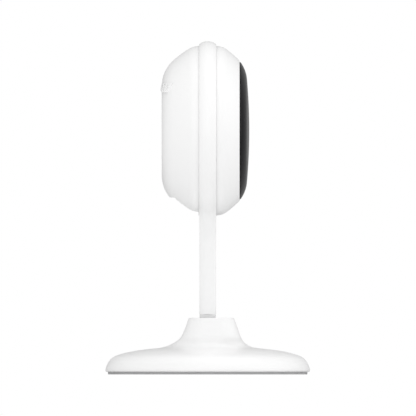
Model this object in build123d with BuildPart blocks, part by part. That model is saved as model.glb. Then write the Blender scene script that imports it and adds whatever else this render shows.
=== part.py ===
from build123d import *
import math
import os

os.makedirs("parts", exist_ok=True)

# A small indoor camera: a round head held at its waist by a thin ring, on a slim stem that
# tilts in the neck of a weighted round base. Millimetres and degrees. The camera looks
# along -Y, +Z is up, and the origin is under the middle of the base. "Depth" is measured
# forwards from the middle plane of the ring and the stem.

# ---- Driving sizes: the head
head_height = 85.3        # tilt axis of the head, above the desk
waist_radius = 29.85      # the ball-shaped band of the head that turns inside the ring
waist_margin = 0.2        # the ball's band, past each side of the ring
shoulder = 12.85          # from the waist in to the centre of the front corner arc
back_shoulder = 14.25     # and to the centre of the back one
back_depth = 16.1         # the flat back, behind the ring's middle
back_corner = 12.0        # radius of the corner arc round the back
front_corner = 11.8       # radius of the corner arc round the front
front_corner_depth = 2.0  # centre of that arc
dome_depth = 14.55        # crown of the front window
corner_end = 47           # where the corner arcs end, from the head's axis
band_half = 5.4           # the ball-shaped band, each side of the middle plane
band_blend = 6.0          # softens the band's edges
shell_wall = 1.8
lip_depth = 1.2           # the back shell's lip, inside the front shell
lip_gap = 0.08

# ---- Driving sizes: the front window and what is behind it
window_inset = 5.75       # from the waist in to the window's edge
window_gap = 0.15
window_thickness = 1.5
tape_thickness = 0.3
tape_inset = 0.2
ledge_thickness = 1.2
ledge_width = 2.6
lens_window_radius = 8.5
lens_window_gap = 0.06
window_hole_gap = 0.08
seal_overlap = 0.6        # the light seal, past the lens window's edge
seal_gap = 0.4

# ---- Driving sizes: inside the head
board_back = -4.6         # rear face of the main board
board_thickness = 1.2
board_edge_gap = 2.45
chassis_back = 1.6
chassis_thickness = 1.4
chassis_edge_gap = 1.65
chassis_bore_gap = 1.0
spring_gap = 0.6          # chassis to the pivot pins' heads
lamp_board_back = 6.0
lamp_board_thickness = 1.0
lamp_circle = 13.2
lamp_count = 8
lamp_radius = 1.7
boss_radius = 2.3
boss_edge_gap = 5.6
lens_thread = 6.0         # radius of the lens barrel's thread
lens_flange = 7.3
lens_flange_depth = 6.4
lens_front_depth = 10.6
lens_mouth = 5.0          # radius of the front glass
lens_mouth_depth = 1.8
barrel_chamfer = 0.4
barrel_cone = 6.6         # the stepped mouth in front of the glass
barrel_cone_depth = 1.2
barrel_cone_angle = 50
lens_bore = 4.0
glass_rise = 1.4          # crown of the front glass
glass_edge = 0.5
rear_glass_depth = 5.0    # behind the front glass
rear_glass_thickness = 2.0
holder_width = 15.0
holder_cavity = 12.0
holder_cavity_depth = 2.6
holder_port = 3.5
holder_step = 4.4
holder_wall = 1.2
sensor_width = 8.0
sensor_height = 7.0
sensor_thickness = 0.9
filter_width = 9.5
filter_thickness = 0.4
cup_inset = 2.2           # the chassis cup's outside, in from the circle of the bosses
cup_wall = 1.2
cup_depth = 8.0
cup_gap = 0.3             # round the lamp board
post_inset = 1.75         # from the lamp board's edge in to its screws
post_radius = 1.8
standoff_inset = 7.6      # from the main board's edge in to its screws
standoff_radius = 2.2
standoff_turns = (35, 145, 270)
fit_gap = 0.05            # radial clearance of pins, threads and screws
screw_gap = 0.02

# ---- Driving sizes: screws, as radii and lengths
coarse_thread = 1.0       # base and chassis screws
coarse_head = 2.0
coarse_head_height = 0.9
base_screw_length = 4.2
driver_reach = 2.2        # the cross in a base screw's head
driver_width = 0.4
driver_depth = 0.5
fine_thread = 0.8         # bracket and main board screws
fine_head = 1.5
fine_head_height = 0.8
board_screw_bite = 3.5
bracket_screw_length = 2.6
bracket_screw_pitch = 4.4
lamp_thread = 0.7
lamp_head = 1.3
lamp_screw_bite = 2.4

# ---- Driving sizes: the small parts on the boards
lamp_body = 1.2
lamp_crown = 0.9
sensor_chip = (2.0, 1.6, 0.7)
status_lamp_size = (1.6, 0.8, 0.6)
pipe_radius = 0.75
microphone_size = (3.8, 2.8, 1.1)
microphone_inset = 1.55   # from the lamp board's edge in to the microphone's middle
pinhole_radius = 0.45
boot_radius = 1.4
boot_bore = 0.5
can_middle = (-5, 0)
can_width = 16.0
can_length = 15.0
can_height = 2.4
can_wall = 0.3
processor_width = 9.0
processor_thickness = 1.2
card_length = 14.0
card_inset = 0.6          # from the main board's edge
card_back_wall = 1.0
card_socket_width = 14.5
card_socket_height = 1.5
card_width = 11.4
card_thickness = 0.9
card_slot_width = 12.4
card_slot_height = 1.3
aerial_angle = 60         # half of it each side of the top
aerial_width = 3.4
aerial_thickness = 0.25
aerial_back = -2.4
speaker_width = 26.0
speaker_height = 10.0
speaker_corner = 4.9
speaker_depth = 3.2
magnet_width = 16.0
magnet_height = 8.0
magnet_depth = 1.2
magnet_corner = 2.0
chamber_width = 22.0
chamber_height = 6.5
chamber_depth = 0.6
gasket_thickness = 0.8
seat_rise = 2.7           # the speaker's seat, in from the shell's inner face

# ---- Driving sizes: the back of the head
slot_count = 15           # sound slots in the back shell
slot_pitch = 2.4
slot_width = 1.3
slot_height = 3.2
slot_margin = 0.4         # hood left above and below each slot
hood_rise = 0.46          # the hooded ribs between the slots
hood_step = 0.8           # height of their sharp lower end
sound_below_corner = 0.6  # the slot row, below the top of the flat back
recess_width = 17.0       # sunken channel round the power socket
socket_turn = 60          # the socket's direction, down from the head's axis
recess_depth = 1.4
recess_step = 7.8         # its upper step, below the flat back's bottom
recess_margin = 1.2       # thickening behind the recess
socket_width = 7.5
socket_height = 2.9
socket_length = 5.4
socket_sink = 0.45        # the socket's mouth, below the sunken floor
socket_metal = 0.3
socket_corner = 0.9
socket_back_wall = 0.8
socket_board_width = 12.0
socket_board_length = 4.4
socket_board_thickness = 1.0
socket_board_start = 3.1   # below the sunken floor
socket_mouth_gap = 0.25
socket_tongue = (3.9, 0.6)
socket_tongue_rise = 0.35
button_radius = 2.4
button_inset = 3.6        # button's height above the bottom of the flat back
button_travel = 0.5
button_gap = 0.2
button_sink = 0.1
button_chamfer = 0.25
button_flange = 0.9
button_flange_thickness = 0.8
plunger_radius = 1.2
switch_height = 4.2
switch_body = 3.0
switch_width = 4.5
switch_knob = 1.0

# ---- Driving sizes: the ring and the stem
ring_depth = 6.0          # front to back, ring and stem alike
ring_gap = 0.3
ring_thickness = 1.2
edge_round = 1.0
stem_width = 13.0
stem_flare = 14.0
plug_width = 10.0         # the tongue's plug, bonded into the stem
plug_depth = 3.6
plug_length = 12.0
pivot_radius = 1.5
pivot_head = 2.8
pivot_head_thickness = 0.7
pivot_skin = 0.45         # ring left over the pin's outer end
bush_radius = 2.5
bush_thickness = 1.2
bush_sink = 0.35          # bush's outer end, inside the ball
spring_radius = 3.2
spring_thickness = 0.7

# ---- Driving sizes: the hinge in the neck
hinge_height = 8.5
hinge_pin_radius = 1.8
pin_overhang = 0.1
pin_chamfer = 0.2
knuckle_radius = 4.0
washer_thickness = 0.8
sheet = 1.2               # steel of the hinge bracket
ear_length = 6.0
ear_gap = 0.2
cheek_gap = 0.2           # bracket to tongue, past the slot's side
bracket_lift = 0.3        # bracket above the base plate
pocket_gap = 0.2          # round the knuckle in the neck's root
tilt_forward = 22
tilt_back = 10
tilt_room = 0.5           # left between the stem and the ends of the slot at full tilt
side_room = 0.3           # between the stem and the slot's sides
collar_step = 0.175       # the stem's foot stands this much proud of the tongue
foot_gap = 1.3            # stem's foot above the neck

# ---- Driving sizes: the base
base_radius = 35.8
foot_thickness = 0.9
foot_inset = 0.9
foot_inner_radius = 22.0
foot_chamfer = 0.2
rim_height = 5.4          # where the leaning side meets the dome
rim_lean = 1.7
rim_foot = 1.9
rim_round = 16.0
dome_round = 43.0
rim_blend = 4.0           # between the leaning side and the dome
flare_radius = 17.5       # foot of the flare that rises into the neck
flare_height = 9.1
flare_bend_radius = 12.6
flare_bend_height = 10.5
flare_top_radius = 6.0    # the flare runs on inside the neck up to here
flare_top_height = 14.7
neck_top = 19.8
neck_depth = 16.1
neck_width = 21.2
neck_corner = 5.5
neck_forward = 1.25       # neck's middle, in front of the stem's
neck_slope = 19.5
neck_blend = 2.0
neck_edge = 0.6
slot_corner = 1.0
cover_edge = 0.5
cover_wall = 2.2
base_plate_thickness = 1.5
plate_gap = 0.1
plate_sink = 0.4          # the plate's sunken middle
plate_sink_inset = 2.0
seat_radius = 2.2
seat_depth = 1.0
cover_boss_radius = 3.0
cover_boss_inset = 8.3    # from the rim in to the base screws
cover_boss_height = 3.6
cover_boss_bore = 3.0
ballast_inner = 15.0
ballast_gap = 0.5
ballast_thickness = 3.0
ballast_chamfer = 0.3

# ---- Sizes that follow
corner_height = waist_radius - shoulder
back_height = waist_radius - back_shoulder
waist_half = ring_depth / 2 + waist_margin
ring_inner = waist_radius + ring_gap
ring_outer = ring_inner + ring_thickness
inner_waist = waist_radius - shell_wall
board_front = board_back + board_thickness
board_radius = inner_waist - board_edge_gap
chassis_front = chassis_back + chassis_thickness
chassis_radius = inner_waist - chassis_edge_gap
lamp_board_front = lamp_board_back + lamp_board_thickness
boss_circle = inner_waist - boss_edge_gap
window_radius = waist_radius - window_inset
window_opening = window_radius + window_gap
ledge_inner = window_opening - ledge_width
cup_outer = boss_circle - cup_inset
lamp_board_radius = cup_outer - cup_wall - cup_gap
post_circle = lamp_board_radius - post_inset
standoff_circle = board_radius - standoff_inset
microphone_height = microphone_inset - lamp_board_radius
recess_top = back_height + recess_step
pad_inset = shell_wall + recess_margin
sound_height = back_height - sound_below_corner
button_height = button_inset - back_height
stem_foot = neck_top + foot_gap
foot_radius = base_radius - foot_inset
cover_boss_circle = base_radius - cover_boss_inset
ballast_outer = cover_boss_circle - cover_boss_radius - ballast_gap
slot_half = stem_width / 2 + side_room
cheek_inner = slot_half + cheek_gap
tongue_half = cheek_inner - washer_thickness
cheek_outer = cheek_inner + sheet
roof_height = flare_height - cover_wall
cover_inner = base_radius - cover_wall
base_plate_top = foot_thickness + base_plate_thickness
slot_rise = neck_top - hinge_height


def slot_reach(tilt):
    """How far from the hinge's plane the slot must reach for the stem to tilt this far."""
    angle = math.radians(tilt)
    return slot_rise * math.tan(angle) + ring_depth / 2 / math.cos(angle) + tilt_room


# Pins and screws stand on their plane, or hang from it.
standing = (Align.CENTER, Align.CENTER, Align.MIN)
hanging = (Align.CENTER, Align.CENTER, Align.MAX)

# Side view of the whole camera and of the head: x forwards, y up.
side = Plane(origin=(0, 0, 0), x_dir=(0, -1, 0), z_dir=(-1, 0, 0))
head_side = Plane(origin=(0, 0, head_height), x_dir=(0, -1, 0), z_dir=(-1, 0, 0))
head_axis = Axis((0, 0, head_height), (0, -1, 0))


def facing(depth):
    """A plane across the head at this depth, looking forwards: x to the right, y up."""
    return Plane(origin=(0, -depth, head_height), x_dir=(1, 0, 0), z_dir=(0, -1, 0))


def across(x, height):
    """A plane across the X direction at this height: x to the back, y up."""
    return Plane(origin=(x, 0, height), x_dir=(0, 1, 0), z_dir=(1, 0, 0))


def head_form(inset):
    """The solid inside the head's outline, shrunk all round by inset."""
    back_centre = (back_corner - back_depth, back_height)
    front_centre = (front_corner_depth, corner_height)
    reach = dome_depth - front_corner_depth
    dome_radius = (reach**2 + corner_height**2 - front_corner**2) / (2 * (reach - front_corner))
    dome_centre = (dome_depth - dome_radius, 0)
    dome_angle = math.degrees(math.atan2(corner_height, front_corner_depth - dome_centre[0]))
    waist = waist_radius - inset
    band_edge = math.sqrt(waist**2 - band_half**2)
    with BuildPart() as form:
        with BuildSketch(head_side) as outline:
            with BuildLine():
                back = CenterArc(back_centre, back_corner - inset, 180, -corner_end)
                TangentArc(back @ 1, (-band_half, band_edge), tangent=back % 1)
                ThreePointArc((-band_half, band_edge), (0, waist), (band_half, band_edge))
                dome = CenterArc(dome_centre, dome_radius - inset, 0, dome_angle)
                front = CenterArc(
                    front_centre, front_corner - inset, dome_angle, corner_end - dome_angle
                )
                TangentArc(front @ 1, (band_half, band_edge), tangent=front % 1)
                Polyline(back @ 0, (inset - back_depth, 0), dome @ 0)
            make_face()
            fillet(outline.vertices().sort_by(Axis.Y)[-2:], radius=band_blend)
        revolve(axis=head_axis)
    return form.part


def slab(back, front, radius=2 * base_radius):
    """A round slab across the head between two depths."""
    with BuildPart() as piece:
        with BuildSketch(facing(back)):
            Circle(radius)
        extrude(amount=front - back)
    return piece.part


outer_form = head_form(0)
wall_form = head_form(shell_wall)
window_back_form = head_form(window_thickness)
tape_back_form = head_form(window_thickness + tape_thickness)
ledge_back_form = head_form(window_thickness + tape_thickness + ledge_thickness)
pad_form = head_form(pad_inset)
recess_form = head_form(recess_depth)
lip_form = head_form(shell_wall / 2 + lip_gap)
mid_wall_form = head_form(shell_wall / 2)
hood_form = head_form(-hood_rise)

# ============================================================ base
# Foot pad: a grey rubber ring stuck under the base plate. It hides the base screws.
with BuildPart() as foot_pad:
    with BuildSketch():
        Circle(foot_radius)
        Circle(foot_inner_radius, mode=Mode.SUBTRACT)
    extrude(amount=foot_thickness)
    chamfer(foot_pad.edges().group_by(Axis.Z)[0].sort_by(SortBy.LENGTH)[-1], length=foot_chamfer)
foot_pad.part.label = "foot_pad"
export_step(foot_pad.part, "parts/foot_pad.step")

# Base plate: closes the base from below, with four sunk screw seats and a sunk middle.
with BuildPart() as base_plate:
    with BuildSketch(Plane.XY.offset(foot_thickness)):
        Circle(cover_inner - plate_gap)
    extrude(amount=base_plate_thickness)
    with BuildSketch(Plane.XY.offset(foot_thickness)):
        Circle(foot_inner_radius - plate_sink_inset)
    extrude(amount=plate_sink, mode=Mode.SUBTRACT)
    with Locations(Plane.XY.offset(foot_thickness)):
        with PolarLocations(cover_boss_circle, 4, start_angle=45):
            Cylinder(seat_radius, seat_depth, align=standing, mode=Mode.SUBTRACT)
            Cylinder(
                coarse_thread + fit_gap, base_plate_thickness, align=standing, mode=Mode.SUBTRACT
            )
base_plate.part.label = "base_plate"
export_step(base_plate.part, "parts/base_plate.step")

# Base screws: four pan heads in the seats, threaded into the cover's bosses.
with BuildPart() as base_screws:
    with Locations(Plane.XY.offset(foot_thickness + seat_depth - coarse_head_height)):
        with PolarLocations(cover_boss_circle, 4, start_angle=45):
            Cylinder(coarse_head, coarse_head_height, align=standing)
            Cylinder(coarse_thread, base_screw_length, align=standing)
            Box(driver_reach, driver_width, driver_depth, align=standing, mode=Mode.SUBTRACT)
            Box(driver_width, driver_reach, driver_depth, align=standing, mode=Mode.SUBTRACT)
base_screws.part.label = "base_screws"
export_step(base_screws.part, "parts/base_screws.step")

# Ballast: a steel ring on the base plate, round the hinge bracket.
with BuildPart() as ballast_plate:
    with BuildSketch(Plane.XY.offset(base_plate_top)):
        Circle(ballast_outer)
        Circle(ballast_inner, mode=Mode.SUBTRACT)
    extrude(amount=ballast_thickness)
    chamfer(ballast_plate.edges().group_by(Axis.Z)[-1], length=ballast_chamfer)
ballast_plate.part.label = "ballast_plate"
export_step(ballast_plate.part, "parts/ballast_plate.step")

# Hinge bracket: steel sheet bent into a U, with two ears screwed under the cover's roof.
bracket_top = hinge_height + knuckle_radius
bracket_foot = base_plate_top + bracket_lift
ear_screw = cheek_outer + ear_length / 2 + ear_gap
with BuildPart() as hinge_bracket:
    with BuildSketch(across(cheek_inner, 0)):
        with Locations((0, (bracket_foot + hinge_height) / 2)):
            Rectangle(2 * knuckle_radius, hinge_height - bracket_foot)
        with Locations((0, hinge_height)):
            Circle(knuckle_radius)
            Circle(hinge_pin_radius + screw_gap, mode=Mode.SUBTRACT)
    extrude(amount=sheet)
    with BuildSketch(Plane.XY.offset(roof_height - sheet)):
        with Locations((cheek_outer + ear_length / 2, 0)):
            Rectangle(ear_length, 2 * knuckle_radius)
    extrude(amount=sheet)
    mirror(about=Plane.YZ)
    with BuildSketch(Plane.XY.offset(bracket_foot)):
        Rectangle(2 * cheek_outer, 2 * knuckle_radius)
    extrude(amount=sheet)
    with Locations(Plane.XY.offset(roof_height - sheet)):
        with GridLocations(2 * ear_screw, bracket_screw_pitch, 2, 2):
            Cylinder(fine_thread + fit_gap, sheet, align=standing, mode=Mode.SUBTRACT)
hinge_bracket.part.label = "hinge_bracket"
export_step(hinge_bracket.part, "parts/hinge_bracket.step")

# Bracket screws: four, up through the ears into the cover's roof.
with BuildPart() as bracket_screws:
    with Locations(Plane.XY.offset(roof_height - sheet)):
        with GridLocations(2 * ear_screw, bracket_screw_pitch, 2, 2):
            Cylinder(fine_head, fine_head_height, align=hanging)
            Cylinder(fine_thread, bracket_screw_length, align=standing)
bracket_screws.part.label = "bracket_screws"
export_step(bracket_screws.part, "parts/bracket_screws.step")

# Hinge pin: a steel rod across the bracket, which the stem's knuckle turns on.
with BuildPart() as hinge_pin:
    with BuildSketch(across(0, hinge_height)):
        Circle(hinge_pin_radius)
    extrude(amount=cheek_outer + pin_overhang, both=True)
    chamfer(hinge_pin.edges().filter_by(GeomType.CIRCLE), length=pin_chamfer)
hinge_pin.part.label = "hinge_pin"
export_step(hinge_pin.part, "parts/hinge_pin.step")

# Base cover: a thin dome that flares up into the neck. The neck stands a little in front of
# the middle, because the stem tilts further forwards than back in its slot.
slot_front = slot_reach(tilt_forward)
slot_back = slot_reach(tilt_back)
with BuildPart() as base_cover:
    with BuildSketch(side):
        with BuildLine():
            Line((0, foot_thickness), (base_radius - cover_edge, foot_thickness))
            Line(
                (base_radius - cover_edge, foot_thickness),
                (base_radius, foot_thickness + cover_edge),
            )
            Line((base_radius, foot_thickness + cover_edge), (base_radius, rim_foot))
            RadiusArc((base_radius, rim_foot), (base_radius - rim_lean, rim_height), -rim_round)
            RadiusArc(
                (base_radius - rim_lean, rim_height), (flare_radius, flare_height), -dome_round
            )
            neck_side = Line(
                (flare_top_radius, flare_top_height), (flare_bend_radius, flare_bend_height)
            )
            TangentArc(neck_side @ 1, (flare_radius, flare_height), tangent=neck_side % 1)
            Line((flare_top_radius, flare_top_height), (0, flare_top_height))
            Line((0, flare_top_height), (0, foot_thickness))
        make_face()
    revolve(axis=Axis.Z)
    rim_edge = base_cover.edges().sort_by(lambda edge: abs(edge.center().Z - rim_height))[0]
    fillet(rim_edge, radius=rim_blend)
    with BuildSketch(Plane.XY.offset(neck_top)):
        with Locations((0, -neck_forward)):
            RectangleRounded(neck_width, neck_depth, neck_corner)
    extrude(amount=base_plate_top - neck_top, taper=-neck_slope)
    fillet(base_cover.edges(Select.NEW), radius=neck_blend)
    fillet(base_cover.faces().sort_by(Axis.Z)[-1].edges(), radius=neck_edge)
    with BuildSketch(side):
        with BuildLine():
            Line((0, 0), (cover_inner, 0))
            Line((cover_inner, 0), (cover_inner, rim_height - cover_wall))
            RadiusArc(
                (cover_inner, rim_height - cover_wall), (flare_radius, roof_height), -dome_round
            )
            Line((flare_radius, roof_height), (0, roof_height))
            Line((0, roof_height), (0, 0))
        make_face()
    revolve(axis=Axis.Z, mode=Mode.SUBTRACT)
    with BuildSketch(Plane.XY.offset(roof_height - cover_wall)):
        with Locations((0, (slot_back - slot_front) / 2)):
            RectangleRounded(2 * slot_half, slot_front + slot_back, slot_corner)
    extrude(amount=neck_top - roof_height + 2 * cover_wall, mode=Mode.SUBTRACT)
    with BuildSketch(across(0, 0)):
        with Locations((0, (roof_height + bracket_top) / 2)):
            Rectangle(
                2 * (knuckle_radius + pocket_gap), bracket_top - roof_height + 2 * pocket_gap
            )
    extrude(amount=cheek_outer + pocket_gap, both=True, mode=Mode.SUBTRACT)
    with Locations(Plane.XY.offset(base_plate_top)):
        with PolarLocations(cover_boss_circle, 4, start_angle=45):
            Cylinder(cover_boss_radius, cover_boss_height, align=standing)
            Cylinder(
                coarse_thread + screw_gap, cover_boss_bore, align=standing, mode=Mode.SUBTRACT
            )
    with Locations(Plane.XY.offset(roof_height)):
        with GridLocations(2 * ear_screw, bracket_screw_pitch, 2, 2):
            Cylinder(
                fine_thread + screw_gap,
                bracket_screw_length - sheet + bracket_lift,
                align=standing,
                mode=Mode.SUBTRACT,
            )
base_cover.part.label = "base_cover"
export_step(base_cover.part, "parts/base_cover.step")

# ============================================================ stem
# Ring and stem: one moulding. The ring's inside is part of a ball, so the head can tilt.
with BuildPart() as ring_stem:
    with BuildSketch(Plane.XZ) as ring_outline:
        with Locations((0, head_height)):
            Circle(ring_outer)
        stem_top = head_height - ring_inner + ring_thickness
        with Locations((0, (stem_foot + stem_top) / 2)):
            Rectangle(stem_width, stem_top - stem_foot)
        inner_corners = ring_outline.vertices().sort_by(Axis.Y)[2:4]
        fillet(inner_corners, radius=stem_flare)
    extrude(amount=ring_depth / 2, both=True)
    long_edges = (
        ring_stem.edges().group_by(Axis.Y)[0] + ring_stem.edges().group_by(Axis.Y)[-1]
    ).filter_by(lambda edge: edge.center().Z > stem_foot + screw_gap)
    fillet(long_edges, radius=edge_round)
    with Locations((0, 0, head_height)):
        Sphere(ring_inner, mode=Mode.SUBTRACT)
    # The blind socket for the tongue's plug, and the two seats of the pivot pins.
    with BuildSketch(Plane.XY.offset(stem_foot)):
        Rectangle(plug_width + 2 * fit_gap, plug_depth + 2 * fit_gap)
    extrude(amount=plug_length + tilt_room, mode=Mode.SUBTRACT)
    with BuildSketch(across(0, head_height)):
        Circle(pivot_radius + screw_gap)
    extrude(amount=ring_outer - pivot_skin + fit_gap, both=True, mode=Mode.SUBTRACT)
ring_stem.part.label = "ring_stem"
export_step(ring_stem.part, "parts/ring_stem.step")

# Tongue: the stem's hinge knuckle, with a plug bonded into the stem.
with BuildPart() as stem_tongue:
    with BuildSketch(across(0, 0)):
        with Locations((0, hinge_height)):
            Circle(knuckle_radius)
        with Locations((0, (hinge_height + stem_foot) / 2)):
            Rectangle(ring_depth - 2 * collar_step, stem_foot - hinge_height)
        with Locations((0, hinge_height)):
            Circle(hinge_pin_radius + fit_gap, mode=Mode.SUBTRACT)
    extrude(amount=tongue_half, both=True)
    fillet(stem_tongue.edges(Select.ALL).filter_by(Axis.Z).group_by(Axis.Z)[-1], radius=neck_edge)
    with BuildSketch(Plane.XY.offset(stem_foot)):
        Rectangle(plug_width, plug_depth)
    extrude(amount=plug_length)
stem_tongue.part.label = "stem_tongue"
export_step(stem_tongue.part, "parts/stem_tongue.step")

# Friction washers: two sprung discs between the tongue and the bracket's cheeks.
with BuildPart() as friction_washers:
    with BuildSketch(across(tongue_half, hinge_height)):
        Circle(knuckle_radius - 0.4)
        Circle(hinge_pin_radius + fit_gap, mode=Mode.SUBTRACT)
    extrude(amount=washer_thickness - 2 * screw_gap)
    mirror(about=Plane.YZ)
friction_washers.part.label = "friction_washers"
export_step(friction_washers.part, "parts/friction_washers.step")

# ============================================================ pivots of the head
flange_radius = waist_half - 2 * fit_gap
flange_face = math.sqrt(inner_waist**2 - flange_radius**2) - fit_gap
flange_back = flange_face - bush_thickness
spring_back = flange_back - spring_thickness
pin_head_back = spring_back - pivot_head_thickness

# Pivot pins: two stub pins pressed into the ring, each with a head inside the camera.
with BuildPart() as pivot_pins:
    with BuildSketch(across(spring_back, head_height)):
        Circle(pivot_radius)
    extrude(amount=ring_outer - pivot_skin - spring_back)
    with BuildSketch(across(pin_head_back, head_height)):
        Circle(pivot_head)
    extrude(amount=spring_back - pin_head_back)
    mirror(about=Plane.YZ)
pivot_pins.part.label = "pivot_pins"
export_step(pivot_pins.part, "parts/pivot_pins.step")

# Pivot bushes: flanged sleeves clamped between the two shells.
with BuildPart() as pivot_bushes:
    with BuildSketch(across(flange_back, head_height)):
        Circle(flange_radius)
    extrude(amount=flange_face - flange_back)
    with BuildSketch(across(flange_back, head_height)):
        Circle(bush_radius)
    extrude(amount=waist_radius - bush_sink - flange_back)
    with BuildSketch(across(flange_back, head_height)):
        Circle(pivot_radius + fit_gap)
    extrude(amount=ring_outer, mode=Mode.SUBTRACT)
    mirror(about=Plane.YZ)
pivot_bushes.part.label = "pivot_bushes"
export_step(pivot_bushes.part, "parts/pivot_bushes.step")

# Pivot springs: wave washers between the pins' heads and the bushes, which hold the tilt.
with BuildPart() as pivot_springs:
    with BuildSketch(across(spring_back + fit_gap, head_height)):
        Circle(spring_radius)
        Circle(pivot_radius + fit_gap, mode=Mode.SUBTRACT)
    extrude(amount=flange_back - spring_back - 2 * fit_gap)
    mirror(about=Plane.YZ)
pivot_springs.part.label = "pivot_springs"
export_step(pivot_springs.part, "parts/pivot_springs.step")

# ============================================================ head shells
# The power socket's place: square to the sunken floor, at the end of the back corner arc.
socket_angle = math.radians(socket_turn)
socket_floor = back_corner - recess_depth
socket_origin = (
    0,
    back_depth - back_corner + socket_floor * math.cos(socket_angle),
    head_height - back_height - socket_floor * math.sin(socket_angle),
)
socket_out = (0, math.cos(socket_angle), -math.sin(socket_angle))


def socket_plane(offset):
    """A plane along the power socket, this far out from the sunken floor."""
    place = [start + offset * step for start, step in zip(socket_origin, socket_out)]
    return Plane(origin=tuple(place), x_dir=(1, 0, 0), z_dir=socket_out)


def recess_block(widen, top):
    """The space behind the ring and below the recess's step, before it follows the shell."""
    with BuildPart() as block:
        with BuildSketch(head_side):
            with Locations(((-waist_half - back_depth) / 2, -(top + ring_outer) / 2)):
                Rectangle(back_depth - waist_half, ring_outer - top)
        extrude(amount=recess_width / 2 + widen, both=True)
    return block.part


with BuildPart() as recess_pad:
    add(recess_block(recess_margin, recess_top - recess_margin))
    add(mid_wall_form, mode=Mode.INTERSECT)
    add(pad_form, mode=Mode.SUBTRACT)
with BuildPart() as recess_cut:
    add(recess_block(0, recess_top))
    add(recess_form, mode=Mode.SUBTRACT)

# The hooded ribs: a wedge along the slot row that grows downwards and ends in a sharp step.
hood_top = sound_height + slot_height / 2
hood_foot = sound_height - slot_height / 2
hood_half = slot_pitch * (slot_count - 1) / 2 + slot_width
with BuildPart() as hood_row:
    with BuildSketch(head_side):
        with BuildLine():
            Polyline(
                (-back_depth, hood_top),
                (-back_depth - hood_rise, hood_foot + hood_step),
                (-back_depth, hood_foot),
                (-back_depth + 2 * shell_wall, hood_foot),
                (-back_depth + 2 * shell_wall, hood_top),
                close=True,
            )
        make_face()
    extrude(amount=hood_half, both=True)
    add(hood_form, mode=Mode.INTERSECT)
    add(recess_form, mode=Mode.SUBTRACT)

speaker_seat = shell_wall - back_depth + seat_rise
seat_width = speaker_width + 2 * cup_gap
seat_height = speaker_height + 2 * tilt_room
chamber_corner = chamber_height / 2 - 2 * fit_gap

# Back shell: the white back of the head, with the sound slots, the socket's recess, the
# card slot, the button's hole and four screw bosses.
with BuildPart() as shell_lip:
    add(lip_form)
    add(slab(-ring_thickness, lip_depth), mode=Mode.INTERSECT)
with BuildPart() as shell_bosses:
    with BuildSketch(facing(-back_depth)):
        with PolarLocations(boss_circle, 4, start_angle=45):
            Circle(boss_radius)
        with Locations((0, sound_height)):
            RectangleRounded(seat_width, seat_height, speaker_corner)
            RectangleRounded(chamber_width, chamber_height, chamber_corner, mode=Mode.SUBTRACT)
    extrude(amount=back_depth + chassis_back)
    with BuildSketch(facing(speaker_seat)):
        with Locations((0, sound_height)):
            RectangleRounded(seat_width, seat_height, speaker_corner)
    extrude(amount=back_depth + chassis_back, mode=Mode.SUBTRACT)
    with BuildSketch(facing(-back_depth / 2)):
        with PolarLocations(boss_circle, 4, start_angle=45):
            Circle(coarse_thread + screw_gap)
    extrude(amount=back_depth, mode=Mode.SUBTRACT)
    add(mid_wall_form, mode=Mode.INTERSECT)
card_depth = board_back - card_socket_height / 2
with BuildPart() as rear_shell:
    add(outer_form)
    add(slab(-2 * back_depth, 0), mode=Mode.INTERSECT)
    add(shell_lip.part)
    add(wall_form, mode=Mode.SUBTRACT)
    add(shell_bosses.part)
    add(recess_pad.part)
    add(recess_cut.part, mode=Mode.SUBTRACT)
    add(hood_row.part)
    with BuildSketch(facing(-back_depth - hood_rise)):
        with Locations((0, sound_height)):
            with GridLocations(slot_pitch, slot_pitch, slot_count, 1):
                SlotOverall(slot_height - slot_margin, slot_width, rotation=90)
    extrude(amount=hood_rise + shell_wall + slot_margin, mode=Mode.SUBTRACT)
    with BuildSketch(facing(-back_depth - hood_rise)):
        with Locations((0, button_height)):
            Circle(button_radius + button_gap)
    extrude(amount=hood_rise + 2 * shell_wall, mode=Mode.SUBTRACT)
    with BuildSketch(socket_plane(recess_depth)):
        RectangleRounded(
            socket_width + 2 * socket_mouth_gap,
            socket_height + 2 * socket_mouth_gap,
            socket_corner + socket_mouth_gap,
        )
    extrude(amount=-2 * (recess_depth + recess_margin), mode=Mode.SUBTRACT)
    with BuildSketch(facing(card_depth - card_slot_height / 2)):
        with Locations((waist_radius - shell_wall, 0)):
            Rectangle(4 * shell_wall, card_slot_width)
    extrude(amount=card_slot_height, mode=Mode.SUBTRACT)
    with BuildSketch(across(-2 * waist_radius, head_height)):
        Circle(bush_radius + screw_gap)
    extrude(amount=4 * waist_radius, mode=Mode.SUBTRACT)
rear_shell.part.label = "rear_shell"
export_step(rear_shell.part, "parts/rear_shell.step")

# Front shell: the white front rim, with a ledge that the window is taped to.
with BuildPart() as window_ledge:
    add(tape_back_form)
    add(slab(0, 2 * dome_depth, window_opening + shell_wall), mode=Mode.INTERSECT)
    add(ledge_back_form, mode=Mode.SUBTRACT)
    add(slab(0, 2 * dome_depth, ledge_inner), mode=Mode.SUBTRACT)
with BuildPart() as shell_rebate:
    add(mid_wall_form)
    add(slab(-ring_thickness, lip_depth + lip_gap), mode=Mode.INTERSECT)
with BuildPart() as front_shell:
    add(outer_form)
    add(slab(0, 2 * dome_depth), mode=Mode.INTERSECT)
    add(wall_form, mode=Mode.SUBTRACT)
    add(slab(2 * front_corner_depth, 2 * dome_depth, window_opening), mode=Mode.SUBTRACT)
    add(window_ledge.part)
    add(shell_rebate.part, mode=Mode.SUBTRACT)
    with BuildSketch(across(-2 * waist_radius, head_height)):
        Circle(bush_radius + screw_gap)
    extrude(amount=4 * waist_radius, mode=Mode.SUBTRACT)
front_shell.part.label = "front_shell"
export_step(front_shell.part, "parts/front_shell.step")

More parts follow.
